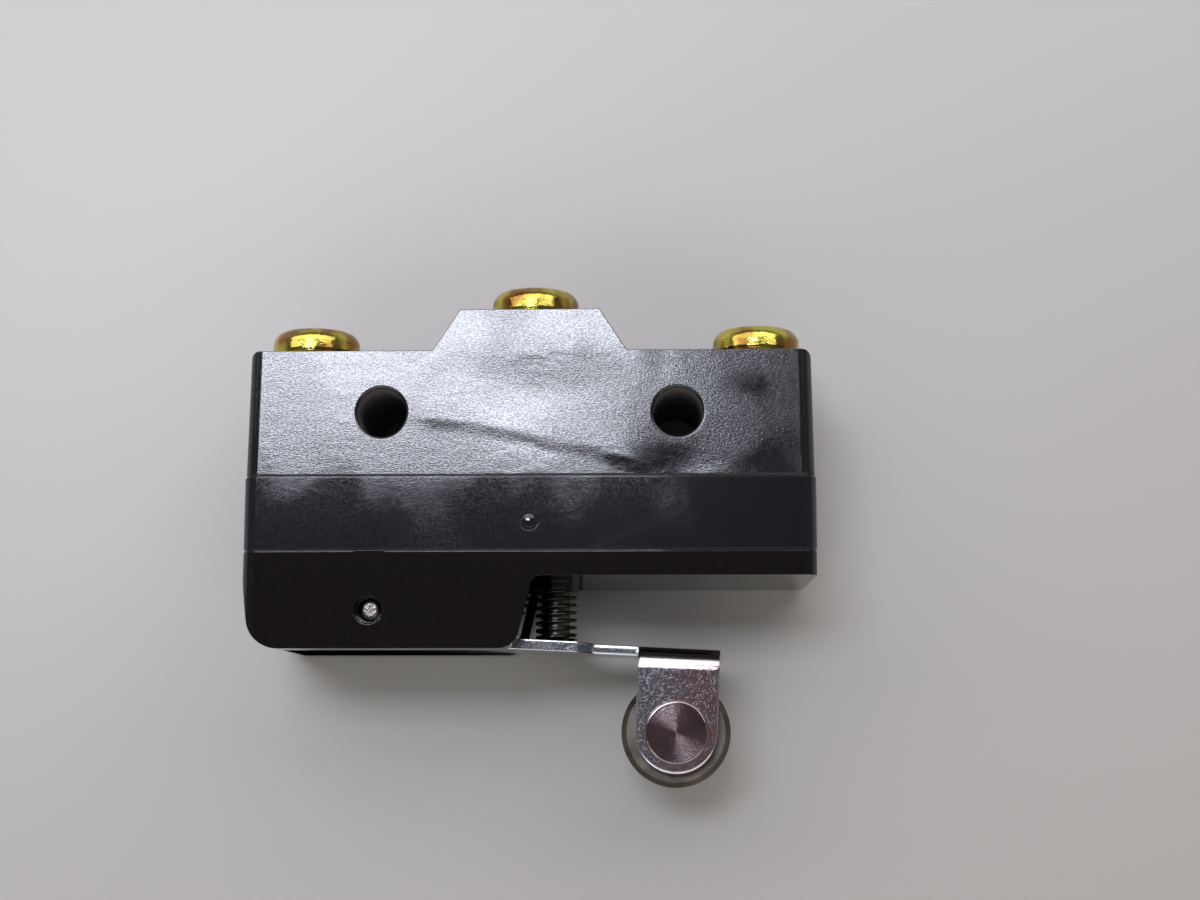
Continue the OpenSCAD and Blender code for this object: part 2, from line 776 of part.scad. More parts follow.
// ---------------------------------------------------------------- plunger and spring

// Stem with a domed tip on the lever and a collar behind the cover
module plunger() {
    nose_y = blade_y - blade_t / 2 - touch_gap;
    collar_y = case_y + key_gap;
    color(steel) turned_y(plunger_right, dome_y) union() {
        intersection() {
            square([plunger_d / 2, collar_y - dome_y + eps]);
            union() {
                translate([0, dome_r]) circle(dome_r);
                translate([0, dome_r]) square([plunger_d / 2, collar_y - dome_y]);
            }
        }
        translate([0, collar_y - dome_y]) square([collar_d / 2, collar_t]);
        translate([0, collar_y - dome_y]) difference() {
            square([plunger_d / 2, nose_y - collar_y]);
            web([plunger_d / 2, nose_y - collar_y], 180, 270, plunger_d / 4);
        }
    }
}

// Points and faces of a round wire swept along the coil
module return_spring() {
    sides = 8;
    per_turn = 20;
    steps = turns * per_turn;
    low = spring_low + wire_d / 2;
    high = seat_y - touch_gap - wire_d / 2;
    closed = 0.75;
    open_pitch = (high - low - 2 * closed * wire_d * 1.05) / (turns - 2 * closed);
    function rise(t) = t < closed ? t * wire_d * 1.05 :
        t > turns - closed ? high - low - (turns - t) * wire_d * 1.05 :
        closed * wire_d * 1.05 + (t - closed) * open_pitch;
    points = [
        for (i = [0:steps], k = [0:sides - 1])
            let (a = 360 * i / per_turn, w = 360 * k / sides,
                 r = coil_r + wire_d / 2 * cos(w))
            [r * cos(a), r * sin(a), rise(i / per_turn) + wire_d / 2 * sin(w)]
    ];
    faces = concat(
        [[for (k = [0:sides - 1]) k]],
        [for (i = [0:steps - 1], k = [0:sides - 1])
            let (a = i * sides + k, b = i * sides + (k + 1) % sides)
            [a, a + sides, b + sides, b]],
        [[for (k = [sides - 1:-1:0]) steps * sides + k]]
    );
    color(steel) translate([plunger_right, low, mid_z]) rotate([-90, 0, 0])
        polyhedron(points, faces, convexity = 10);
}

// ---------------------------------------------------------------- lever

// Places what is drawn in the lever frame at the free position
module at_lever() {
    translate([pivot[0], pivot[1], 0]) rotate(-free_angle) children();
}

// Flat blank of the lever seen along Y: wide part, taper, neck and yoke web
module lever_plan() {
    tip = lever_arm + ear_w / 2;
    web_w = yoke_w - 2 * (ear_fold_r + lever_t);
    union() {
        polygon([
            [-tail_len, mid_z - lever_w / 2 + 0.8], [-tail_len + 0.8, mid_z - lever_w / 2],
            [wide_len, mid_z - lever_w / 2], [wide_len + taper_len, mid_z - neck_w / 2],
            [lever_arm, mid_z - neck_w / 2], [lever_arm, mid_z + neck_w / 2],
            [wide_len + taper_len, mid_z + neck_w / 2], [wide_len, mid_z + lever_w / 2],
            [-tail_len + 0.8, mid_z + lever_w / 2], [-tail_len, mid_z + lever_w / 2 - 0.8]
        ]);
        translate([lever_arm - ear_w / 2, mid_z - web_w / 2]) square([ear_w, web_w]);
    }
}

// Quarter fold along X between the sheet and a lug (up) or an ear (down), drawn
// in Y and Z with the sheet's middle line at 0, the outer face at half_w and the
// radius r at its middle line
module fold(from_x, to_x, half_w, up, r) {
    c = [up * r, half_w - lever_t / 2 - r];
    translate([from_x, 0, mid_z]) rotate([90, 0, 90]) linear_extrude(to_x - from_x)
        intersection() {
            translate(c) difference() {
                circle(r + lever_t / 2);
                circle(r - lever_t / 2);
            }
            translate([up > 0 ? c[0] - r * 2 : c[0], c[1]]) square(r * 2);
        }
}

// Both side plates of a fold pair, drawn in X and Y, outer faces half_w apart
module side_plates(half_w) {
    for (z = [mid_z - half_w, mid_z + half_w - lever_t])
        translate([0, 0, z]) linear_extrude(lever_t) children();
}

module lever() {
    lug_from = -lug_w / 2;
    ear_from = lever_arm - ear_w / 2;
    color(steel) at_lever() difference() {
        union() {
            difference() {
                run_y(-lever_offset - lever_t / 2, sheet_top) lever_plan();
                for (z = [mid_z - lever_w / 2 - eps, mid_z + lever_w / 2 - bend_r - lever_t / 2])
                    translate([lug_from, -lever_offset - lever_t, z])
                        cube([lug_w, lever_t * 2, bend_r + lever_t / 2 + eps]);
                for (side = [0, 1]) mirror_z(side)
                    translate([ear_from, -lever_offset - lever_t,
                               mid_z + yoke_w / 2 - ear_bend_r - lever_t / 2])
                        cube([ear_w, lever_t * 2, lever_w]);
            }
            for (side = [0, 1]) mirror_z(side) translate([0, -lever_offset, 0]) {
                fold(lug_from, lug_from + lug_w, lever_w / 2, 1, bend_r);
                fold(ear_from, ear_from + ear_w, yoke_w / 2, -1, ear_bend_r);
            }
            side_plates(lever_w / 2) union() {
                translate([lug_from, -lever_offset + bend_r]) square([lug_w, lever_offset - bend_r]);
                circle(d = lug_w);
            }
            side_plates(yoke_w / 2) union() {
                translate([ear_from, roller_at[1]]) square([ear_w, roller_drop - ear_bend_r]);
                translate(roller_at) circle(d = ear_w);
            }
        }
        translate([0, 0, -eps]) cylinder(h = body_t + 2 * eps, d = pin_d + 2 * run_gap);
        translate([roller_at[0], roller_at[1], -eps])
            cylinder(h = body_t + 2 * eps, d = rivet_d + 2 * press_gap);
    }
}

// Keeps what it is given, or its mirror image in the middle plane
module mirror_z(side) {
    translate([0, 0, side * body_t]) mirror([0, 0, side]) children();
}

module pivot_pin() {
    length = body_t - 2 * pin_ring_depth;
    color(steel) translate([pivot[0], pivot[1], pin_ring_depth]) rotate_extrude() difference() {
        square([pin_d / 2, length]);
        web([pin_d / 2, 0], 90, 180, pin_end_r);
        web([pin_d / 2, length], 180, 270, pin_end_r);
    }
}

module roller() {
    color("#8f9296") at_lever() translate([roller_at[0], roller_at[1], mid_z])
        rotate_extrude() polygon([
            for (s = [-1, 1]) let (
                half = roller_w / 2,
                side = [
                    [rivet_d / 2 + run_gap, half], [roller_hub_d / 2, half],
                    [roller_hub_d / 2 + roller_relief, half - roller_relief],
                    [roller_d / 2 - roller_chamfer, half - roller_relief],
                    [roller_d / 2, half - roller_relief - roller_chamfer]
                ]
            ) for (i = [0:4]) s < 0 ? [side[i][0], -side[i][1]] : side[4 - i]
        ]);
}

module roller_rivet() {
    span = yoke_w;
    color(steel) at_lever() translate([roller_at[0], roller_at[1], mid_z - span / 2])
        rotate_extrude() union() {
            translate([0, -rivet_head_h]) difference() {
                square([rivet_tail_d / 2, rivet_head_h]);
                web([rivet_tail_d / 2, 0], 90, 180, rivet_head_h * 0.7);
            }
            translate([0, -rivet_head_h / 2]) square([rivet_d / 2, span + rivet_head_h]);
            translate([0, span]) difference() {
                square([rivet_head_d / 2, rivet_head_h]);
                web([rivet_head_d / 2, rivet_head_h], 180, 270, rivet_head_h * 0.4);
            }
        }
}

terminal_base();
contact_case();
lever_cover();
common_terminal();
open_terminal();
closed_terminal();
terminal_screw(-screw_x, ledge_y);  // common_screw
terminal_screw(0, hump_ledge_y);  // open_screw
terminal_screw(screw_x, ledge_y);  // closed_screw
clamp_washer(-screw_x, ledge_y);  // common_washer
clamp_washer(0, hump_ledge_y);  // open_washer
clamp_washer(screw_x, ledge_y);  // closed_washer
blade_anchor();
snap_blade();
anchor_rivet();
moving_contact();
open_contact();
closed_contact();
plunger();
return_spring();
lever();
pivot_pin();
roller();
roller_rivet();
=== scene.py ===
# %% [markdown]
# # A lever micro switch, dressed for the camera
#
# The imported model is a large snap-action switch: a black moulded housing in three
# layers, brass-coloured terminal screws, and a nickel-plated lever with a steel
# roller. Its shapes are settled. This lesson gives every piece a finish that
# behaves like the real material, winds the return spring from round wire, and
# sets up a plain studio.

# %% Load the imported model
import json
import math

import bmesh
import bpy
from mathutils import Matrix, Vector


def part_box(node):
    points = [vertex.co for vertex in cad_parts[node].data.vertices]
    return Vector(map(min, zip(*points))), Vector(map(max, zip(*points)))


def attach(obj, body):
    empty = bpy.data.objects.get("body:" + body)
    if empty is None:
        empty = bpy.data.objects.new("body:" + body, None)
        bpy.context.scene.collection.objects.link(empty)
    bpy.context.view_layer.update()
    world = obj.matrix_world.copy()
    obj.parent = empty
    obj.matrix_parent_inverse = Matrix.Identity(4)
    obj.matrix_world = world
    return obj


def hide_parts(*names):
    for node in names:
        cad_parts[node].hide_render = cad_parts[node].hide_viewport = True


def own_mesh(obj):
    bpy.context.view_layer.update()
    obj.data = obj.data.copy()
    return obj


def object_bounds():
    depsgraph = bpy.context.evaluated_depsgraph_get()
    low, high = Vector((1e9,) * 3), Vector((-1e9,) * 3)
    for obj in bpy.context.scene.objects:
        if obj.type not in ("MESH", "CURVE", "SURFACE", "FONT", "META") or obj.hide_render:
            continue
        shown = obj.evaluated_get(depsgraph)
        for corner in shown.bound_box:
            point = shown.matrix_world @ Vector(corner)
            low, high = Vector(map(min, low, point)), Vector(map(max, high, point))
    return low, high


MM = 0.001

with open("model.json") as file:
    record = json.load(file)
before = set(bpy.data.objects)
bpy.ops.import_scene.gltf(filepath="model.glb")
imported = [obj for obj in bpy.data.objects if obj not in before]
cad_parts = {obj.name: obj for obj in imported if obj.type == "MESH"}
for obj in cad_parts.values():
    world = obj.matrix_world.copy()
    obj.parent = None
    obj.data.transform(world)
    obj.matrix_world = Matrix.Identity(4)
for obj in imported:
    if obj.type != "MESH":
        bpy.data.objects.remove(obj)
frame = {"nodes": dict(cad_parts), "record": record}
cad_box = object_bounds()
nodes = frame["nodes"]
print("model size in mm:", [round((b - a) / MM, 2) for a, b in zip(*cad_box)])


# %% [markdown]
# ## The camera
#
# A switch lying on a bench is looked at from almost straight above, from a hand's
# width away. A short distance and a long lens give the near edges a slight
# outward spread, so both are kept close to a real close-up. The picture's upright
# follows the Y axis of the model, so the matrix is built from that axis and not
# from the usual world-up rule, which would be unsure of itself this near the
# zenith.

# %% Camera
FOCAL_MM = 57.75
SENSOR_MM = 36
NEAR_CLIP = 10 * MM

camera_at = Vector((10.2, -27.8, 179.7)) * MM
camera_aim = Vector((5.6, -0.7, 0)) * MM
back = (camera_at - camera_aim).normalized()
right = Vector((0, 1, 0)).cross(back).normalized()
up = back.cross(right)

lens = bpy.data.cameras.new("close_up")
lens.lens = FOCAL_MM
lens.sensor_width = SENSOR_MM
lens.clip_start = NEAR_CLIP
camera = bpy.data.objects.new("camera", lens)
turn = Matrix((right, up, back)).transposed()
camera.matrix_world = Matrix.Translation(camera_at) @ turn.to_4x4()
bpy.context.scene.collection.objects.link(camera)
bpy.context.scene.camera = camera
bpy.context.scene.view_settings.view_transform = "Standard"
print("camera distance in mm:", round((camera_at - camera_aim).length / MM, 1))


# %% [markdown]
# ## Helpers for node trees
#
# Every finish below is a small tree of shader nodes. One helper adds a node and
# sets or links its sockets in a single call, and the others are the few steps
# that come back in every tree. An effect that several finishes share becomes a
# node group, with named inputs and outputs, so that it is built only once.

# %% Node helpers
def add(tree, kind, inputs=None, **settings):
    """A new node with its settings, and with values or links on its input sockets."""
    made = tree.nodes.new(kind)
    for key, value in settings.items():
        setattr(made, key, value)
    for key, value in (inputs or {}).items():
        if isinstance(value, bpy.types.NodeSocket):
            tree.links.new(value, made.inputs[key])
        else:
            made.inputs[key].default_value = value
    return made


def maths(tree, operation, a, b=0.0):
    """One arithmetic step, and its result."""
    return add(tree, "ShaderNodeMath", {0: a, 1: b}, operation=operation).outputs[0]


def vectors(tree, operation, a, b=(0, 0, 0), give="Vector"):
    """One step with vectors, and its result."""
    return add(tree, "ShaderNodeVectorMath", {0: a, 1: b}, operation=operation).outputs[give]


def fade(tree, value, low, high, to_low=0.0, to_high=1.0):
    """A value moved smoothly from one span to another, and held at its ends."""
    spans = {0: value, 1: low, 2: high, 3: to_low, 4: to_high}
    return add(tree, "ShaderNodeMapRange", spans, interpolation_type="SMOOTHSTEP").outputs[0]


def mix_colour(tree, factor, a, b):
    """Two colours mixed by a mask. The node keeps its pair of colours on sockets 6 and 7."""
    return add(tree, "ShaderNodeMix", {0: factor, 6: a, 7: b}, data_type="RGBA").outputs[2]


def point(tree):
    """The point that is shaded, in the model's own frame and in metres."""
    return add(tree, "ShaderNodeTexCoord").outputs["Object"]


def axes(tree):
    """The same point as X, Y and Z."""
    return add(tree, "ShaderNodeSeparateXYZ", {0: point(tree)}).outputs


def noise(tree, at, scale, detail, **more):
    """Smooth noise between 0 and 1, with its scale per metre."""
    inputs = {"Vector": at, "Scale": scale, "Detail": detail, **more}
    return add(tree, "ShaderNodeTexNoise", inputs).outputs["Fac"]


def open_group(name, inputs, outputs):
    """A node group: its number inputs with their defaults, and its outputs with their kinds."""
    group = bpy.data.node_groups.new(name, "ShaderNodeTree")
    for label, value in inputs.items():
        socket = group.interface.new_socket(label, in_out="INPUT", socket_type="NodeSocketFloat")
        socket.default_value = value
    for label, kind in outputs.items():
        group.interface.new_socket(label, in_out="OUTPUT", socket_type="NodeSocket" + kind)
    return group, add(group, "NodeGroupInput").outputs, add(group, "NodeGroupOutput").inputs


def use_group(tree, group, **values):
    """A copy of a group in a tree."""
    return add(tree, "ShaderNodeGroup", values, node_tree=group)


def new_material(name):
    """An empty material: its tree, and a Principled shader joined to the output."""
    material = bpy.data.materials.new(name)
    material.use_nodes = True
    tree = material.node_tree
    tree.nodes.clear()
    surface = add(tree, "ShaderNodeBsdfPrincipled")
    add(tree, "ShaderNodeOutputMaterial", {"Surface": surface.outputs[0]})
    return material, tree, surface


def colour(r, g, b):
    """A colour from its 0 to 255 screen values."""
    def linear(c):
        c /= 255
        return c / 12.92 if c <= 0.04045 else ((c + 0.055) / 1.055) ** 2.4
    return (linear(r), linear(g), linear(b), 1)


def dress(material, *names):
    """Gives CAD nodes a material, in every slot that they have."""
    for name in names:
        slots = nodes[name].data.materials
        if not slots:
            slots.append(material)
        for i in range(len(slots)):
            slots[i] = material
    print(material.name, "on", ", ".join(names))


# %% [markdown]
# ## The studio
#
# Black plastic and bright metal show what is around them more than they show
# their own colour, so each lamp is placed by what mirrors it. A bright strip
# hangs overhead, a little behind the switch and to its left. The upper part of
# the housing's face mirrors it, and the lower part and the right end don't, which
# tells the eye that the moulding is glossy. A wide, dim window behind the strip
# rounds the metal off, and a third panel on the near side softens the shadows.

# %% Lamps
def panel(name, size, place, tilt, radiance, tint):
    """A flat lamp facing down, or tilted about X by some degrees, with its brightness per area."""
    lamp = bpy.data.lights.new(name, "AREA")
    lamp.shape = "RECTANGLE"
    lamp.size, lamp.size_y = size
    lamp.color = tint
    lamp.energy = radiance * math.pi * size[0] * size[1]
    held = bpy.data.objects.new(name, lamp)
    held.location = place
    held.rotation_euler = (math.radians(tilt), 0, 0)
    bpy.context.scene.collection.objects.link(held)
    print(name, "gives", round(lamp.energy, 2), "W")


panel("ceiling_strip", size=(0.51, 0.262), place=(-0.235, 0.314, 1.2), tilt=0,
      radiance=16.5, tint=(0.85, 0.885, 1.0))
panel("tall_window", size=(4.4, 1.2), place=(-0.5, 1.17, 1.19), tilt=-36,
      radiance=2.2, tint=(1.0, 0.99, 0.95))
panel("near_wall", size=(3.8, 1.2), place=(0.2, -1.35, 1.25), tilt=45,
      radiance=1.5, tint=(1.0, 1.0, 0.92))

# %% [markdown]
# The sky has three parts from the zenith down: the dark of whoever leans over the
# bench, a dim room, and a pale band at bench height that the metal edges pick up.
# The camera itself sees a plain pale backdrop.

# %% Sky
LEANING_OVER = (0.12, 0.095, 0.10, 1)
ROOM = (0.15, 0.15, 0.15, 1)
BENCH_HEIGHT = (0.42, 0.42, 0.40, 1)
BACKDROP = (0.62, 0.61, 0.62, 1)

world = bpy.data.worlds.new("studio_sky")
bpy.context.scene.world = world
world.use_nodes = True
sky = world.node_tree
sky.nodes.clear()
direction = add(sky, "ShaderNodeTexCoord").outputs["Generated"]
height = add(sky, "ShaderNodeSeparateXYZ", {0: direction}).outputs["Z"]
low_sky = mix_colour(sky, fade(sky, height, 0.08, 0.36), BENCH_HEIGHT, ROOM)
whole_sky = mix_colour(sky, fade(sky, height, 0.90, 0.98), low_sky, LEANING_OVER)
from_camera = add(sky, "ShaderNodeLightPath").outputs["Is Camera Ray"]
seen = mix_colour(sky, from_camera, whole_sky, BACKDROP)
light = add(sky, "ShaderNodeBackground", {"Color": seen, "Strength": 1.0})
add(sky, "ShaderNodeOutputWorld", {"Surface": light.outputs[0]})
print("sky nodes:", len(sky.nodes))


# %% [markdown]
# ## The bench top
#
# A plain pale sheet, a little glossy, so that the switch has a soft dark echo
# under it as well as a shadow. It is a disc, wide enough to fill every view, and
# its colour deepens a little towards the near side: painted shade, for the light
# of the lamps behind falling off.
# It lies a hair below the switch, and isn't there for an eye under the bench.

# %% Floor
FLOOR_R = 3.0
FLOOR_SIDES = 96
FLOOR_GAP = 0.02 * MM
TOWARDS_USER = (0.35, -0.94, 0)
FLOOR_FAR_LIT = colour(182, 179, 180)
FLOOR_NEAR_SHADED = colour(157, 153, 151)

floor_mesh = bmesh.new()
bmesh.ops.create_circle(floor_mesh, cap_ends=True, segments=FLOOR_SIDES, radius=FLOOR_R)
bmesh.ops.translate(floor_mesh, verts=floor_mesh.verts, vec=(0, 0, -FLOOR_GAP))
floor_data = bpy.data.meshes.new("bench_top")
floor_mesh.to_mesh(floor_data)
floor_mesh.free()
floor = bpy.data.objects.new("bench_top", floor_data)
bpy.context.scene.collection.objects.link(floor)

bench, tree, surface = new_material("bench_laminate")
# Painted shade: the bench darkens towards the near side, as the light from the lamps behind falls
# off.
along = vectors(tree, "DOT_PRODUCT", point(tree), TOWARDS_USER, give="Value")
painted_falloff = mix_colour(tree, fade(tree, along, -0.08, 0.10), FLOOR_FAR_LIT, FLOOR_NEAR_SHADED)
tree.links.new(painted_falloff, surface.inputs["Base Color"])
surface.inputs["Roughness"].default_value = 0.35
surface.inputs["Specular IOR Level"].default_value = 0.3
behind = add(tree, "ShaderNodeNewGeometry").outputs["Backfacing"]
clear = add(tree, "ShaderNodeBsdfTransparent").outputs[0]
shown = add(tree, "ShaderNodeMixShader", {0: behind, 1: surface.outputs[0], 2: clear}).outputs[0]
tree.links.new(shown, tree.nodes["Material Output"].inputs["Surface"])
floor_data.materials.append(bench)
print("floor corners:", len(floor_data.vertices), "at", FLOOR_R, "m from the switch")


# %% [markdown]
# ## Layers of a surface
#
# A real surface has three layers of shape that are too small to model: its edges
# are worn or moulded round, its faces aren't quite flat, and a grain covers it
# all. Each layer tilts the normal that the last one left. Plastic and metal are
# both built this way.

# %% Layered normal
EDGE_SAMPLES = 8


def bump(tree, height, unit, normal):
    """A normal tilted by a height, which is counted in a unit of so many metres."""
    inputs = {"Height": height, "Distance": unit, "Normal": normal}
    return add(tree, "ShaderNodeBump", inputs).outputs[0]


def layered_normal(tree, edge, form, grain, relief):
    """Rounded edges, then a form, then a grain from 0 to 1 as deep as relief. All are in mm."""
    radius = maths(tree, "MULTIPLY", edge, MM)
    rounded = add(tree, "ShaderNodeBevel", {"Radius": radius}, samples=EDGE_SAMPLES).outputs[0]
    formed = bump(tree, form, MM, rounded)
    return bump(tree, grain, maths(tree, "MULTIPLY", relief, MM), formed)


print("a surface has 3 layers, with", EDGE_SAMPLES, "samples for its edges")


# %% [markdown]
# ## A moulded skin
#
# Phenolic resin is pressed into a steel mould as powder. Where the resin flowed
# last its skin is finely pebbled, like leather seen from far off. The pebbles are
# too shallow to model, so they are bump, drawn out a little along the moulding.
# They lie on broad, shallow swells, and come out deeper in some places than in
# others. The pits between them also scatter the light, so a mask of them goes out
# with the normal.

# %% Skin group
DRAWN_OUT = (1.0, 1.9, 1.3)
SWELLS_PER_M = 380
CLOUDS_PER_M = 160
SWELL_TO_PEBBLE = 1.2


def drawn_out(tree):
    """The point, squeezed so that a noise comes out longer along the moulding."""
    return add(tree, "ShaderNodeMapping", {0: point(tree), 3: DRAWN_OUT}).outputs[0]


def pebble_noise(tree, per_m):
    """The pebbles, from their pits to their tops."""
    return noise(tree, drawn_out(tree), per_m, 4.0, Roughness=0.6, Distortion=0.3)


def skin_group():
    """The skin's normal and a mask of its pebbles."""
    group, given, out = open_group(
        "moulded_skin", {"Grain": 0.3, "Relief": 0.01, "Edge": 0.12, "Form": 0.0},
        {"Normal": "Vector", "Pebbles": "Float"})
    pebbles = pebble_noise(group, maths(group, "DIVIDE", 1 / MM, given["Grain"]))
    swells = noise(group, drawn_out(group), SWELLS_PER_M, 2.0, Distortion=0.5)
    clouds = noise(group, point(group), CLOUDS_PER_M, 1.0)
    swell = maths(group, "MULTIPLY", given["Relief"], SWELL_TO_PEBBLE)
    form = maths(group, "ADD", given["Form"], maths(group, "MULTIPLY", swells, swell))
    depth = maths(group, "MULTIPLY", given["Relief"], fade(group, clouds, 0.4, 0.6, 0.6, 1.4))
    group.links.new(layered_normal(group, given["Edge"], form, pebbles, depth), out["Normal"])
    group.links.new(pebbles, out["Pebbles"])
    return group


SKIN = skin_group()
print("skin group nodes:", len(SKIN.nodes))


# %% [markdown]
# The wide face of the terminal base is not quite flat. It has sunk a little over
# the thick hump and at the lower right. A flow line runs from the left hole down
# to the right, where two streams of resin met. All are given as heights in
# millimetres: each sink is a soft hollow, and the line is a low, uneven step that
# bends down as it goes.

# %% Flow marks
# Each sink has its middle, its half widths and its depth.
SINKS = (((1.5, 1.8), (6.0, 3.6), 0.10), ((13.4, -4.6), (3.0, 2.2), 0.06))
LINE_START = (-7.1, -0.95)
LINE_SLOPE = 0.12
LINE_BEND = 0.006
LINE_STEP = 0.03
LINE_WANDER = 0.1
WANDERS_PER_M = 420


def hollow(tree, x, y, middle, half):
    """A soft round bump of height 1, from its middle and its half widths."""
    u = maths(tree, "DIVIDE", maths(tree, "SUBTRACT", x, middle[0]), half[0])
    v = maths(tree, "DIVIDE", maths(tree, "SUBTRACT", y, middle[1]), half[1])
    square = maths(tree, "ADD", maths(tree, "MULTIPLY", u, u), maths(tree, "MULTIPLY", v, v))
    return maths(tree, "EXPONENT", maths(tree, "MULTIPLY", square, -1.0))


def flow_marks(tree):
    """The sinks and the flow line, as a height in mm."""
    at = axes(tree)
    wander = noise(tree, point(tree), WANDERS_PER_M, 2.0)
    x = maths(tree, "DIVIDE", at["X"], MM)
    y = maths(tree, "ADD", maths(tree, "DIVIDE", at["Y"], MM),
              fade(tree, wander, 0.3, 0.7, -LINE_WANDER, LINE_WANDER))
    run = maths(tree, "SUBTRACT", x, LINE_START[0])
    slope = maths(tree, "ADD", maths(tree, "MULTIPLY", run, LINE_BEND), LINE_SLOPE)
    line_y = maths(tree, "SUBTRACT", LINE_START[1], maths(tree, "MULTIPLY", run, slope))
    step = fade(tree, maths(tree, "SUBTRACT", y, line_y), -1.0, 0.5, 0.0, LINE_STEP)
    ends = maths(tree, "MULTIPLY", fade(tree, x, -11.0, -8.0), fade(tree, x, 12.0, 8.0))
    form = maths(tree, "MULTIPLY", ends, step)
    for middle, half, deep in SINKS:
        sink = maths(tree, "MULTIPLY", hollow(tree, x, y, middle, half), deep)
        form = maths(tree, "SUBTRACT", form, sink)
    return form


print("sinks:", len(SINKS), "and a flow line from", LINE_START)


# %% [markdown]
# The three mouldings are the same resin, from three moulds. The base has the
# coarsest skin, the case is finer, and the cover is polished. The pebbles shine,
# and the pits between them are duller. That pattern on the specular level is laid
# in the material itself and not through the group, with a plain value beneath it
# for programs that can't read it. The walls of the two mounting holes never
# touched the polished face of a mould, so they are dull. They are also painted a
# little paler: painted light, standing in for light that bounces down into the holes.

# %% Phenolic mouldings
RESIN_IOR = 1.6
PIT_SHINE, PLAIN_SHINE, PEBBLE_SHINE = 0.42, 0.55, 0.68
BORE_PAINTED_LIGHT = colour(104, 99, 100)
DULL_BORE = 0.5


def bore_mask(tree):
    """1 on the walls of the two mounting holes, and 0 elsewhere."""
    holes = frame["record"]["mounts"][0]["dims"]
    at = axes(tree)
    from_middle = maths(tree, "ABSOLUTE", at["X"])
    off = maths(tree, "SUBTRACT", from_middle, holes["spacing_x_mm"] / 2 * MM)
    flat = add(tree, "ShaderNodeCombineXYZ", {0: off, 1: at["Y"]}).outputs[0]
    away = vectors(tree, "LENGTH", flat, give="Value")
    near = maths(tree, "LESS_THAN", away, (holes["hole_r_mm"] + 0.05) * MM)
    below_face = maths(tree, "LESS_THAN", at["Z"], cad_box[1][2] - 0.2 * MM)
    return maths(tree, "MULTIPLY", near, below_face)


def phenolic(name, tone, gloss, pitted, grain, relief, edge, form=None, bores=False):
    """Black resin: its tone, its roughness on and between the pebbles, and its skin in mm."""
    material, tree, surface = new_material(name)
    skin = use_group(tree, SKIN, Grain=grain, Relief=relief, Edge=edge)
    if form:
        tree.links.new(form(tree), skin.inputs["Form"])
    rough = fade(tree, skin.outputs["Pebbles"], 0.40, 0.55, pitted, gloss)
    surface.inputs["Base Color"].default_value = tone
    if bores:
        inside = bore_mask(tree)
        # Painted light: the hole walls are paler, standing in for light that bounces down into
        # them.
        tree.links.new(mix_colour(tree, inside, tone, BORE_PAINTED_LIGHT), surface.inputs["Base Color"])
        rough = maths(tree, "MAXIMUM", rough, maths(tree, "MULTIPLY", inside, DULL_BORE))
    tree.links.new(skin.outputs["Normal"], surface.inputs["Normal"])
    tree.links.new(rough, surface.inputs["Roughness"])
    surface.inputs["Specular IOR Level"].default_value = PLAIN_SHINE
    shine = fade(tree, pebble_noise(tree, 1 / MM / grain), 0.35, 0.62, PIT_SHINE, PEBBLE_SHINE)
    tree.links.new(shine, surface.inputs["Specular IOR Level"])
    surface.inputs["IOR"].default_value = RESIN_IOR
    return material


base_skin = phenolic("phenolic_base", colour(13, 14, 19), gloss=0.045, pitted=0.11,
                     grain=0.22, relief=0.008, edge=0.10, form=flow_marks, bores=True)
case_skin = phenolic("phenolic_case", colour(13, 15, 22), gloss=0.03, pitted=0.10,
                     grain=0.16, relief=0.002, edge=0.03)
cover_skin = phenolic("phenolic_cover", colour(5, 4, 5), gloss=0.035, pitted=0.06,
                      grain=0.35, relief=0.0004, edge=0.03)
dress(base_skin, "terminal_base")
dress(case_skin, "contact_case")
dress(cover_skin, "lever_cover")


# %% [markdown]
# ## Plated and bare metal
#
# All the metal here shares one build: a metallic shader whose gloss and tone vary
# a little, with a fine grain in the normal and slightly rounded edges. What makes
# each one itself is the colour of the plating and how coarse the grain is. A
# height from outside, such as turning marks, can be laid under the grain. On a
# bright and smooth metal, the tops of the grain are rougher specks, which catch
# the lamps as glints.

# %% Metal group
PATCHES_PER_M = 420


def metal_group():
    """The grained normal of a metal, with masks of its dull patches and of its grain."""
    group, given, out = open_group(
        "metal_grain", {"Grain": 0.1, "Relief": 0.002, "Edge": 0.06, "Form": 0.0},
        {"Normal": "Vector", "Patches": "Float", "Grain": "Float"})
    place = point(group)
    per_m = maths(group, "DIVIDE", 1 / MM, given["Grain"])
    grain = noise(group, place, per_m, 3.0, Roughness=0.6)
    patches = noise(group, place, PATCHES_PER_M, 2.0)
    normal = layered_normal(group, given["Edge"], given["Form"], grain, given["Relief"])
    group.links.new(normal, out["Normal"])
    group.links.new(patches, out["Patches"])
    group.links.new(grain, out["Grain"])
    return group


METAL = metal_group()


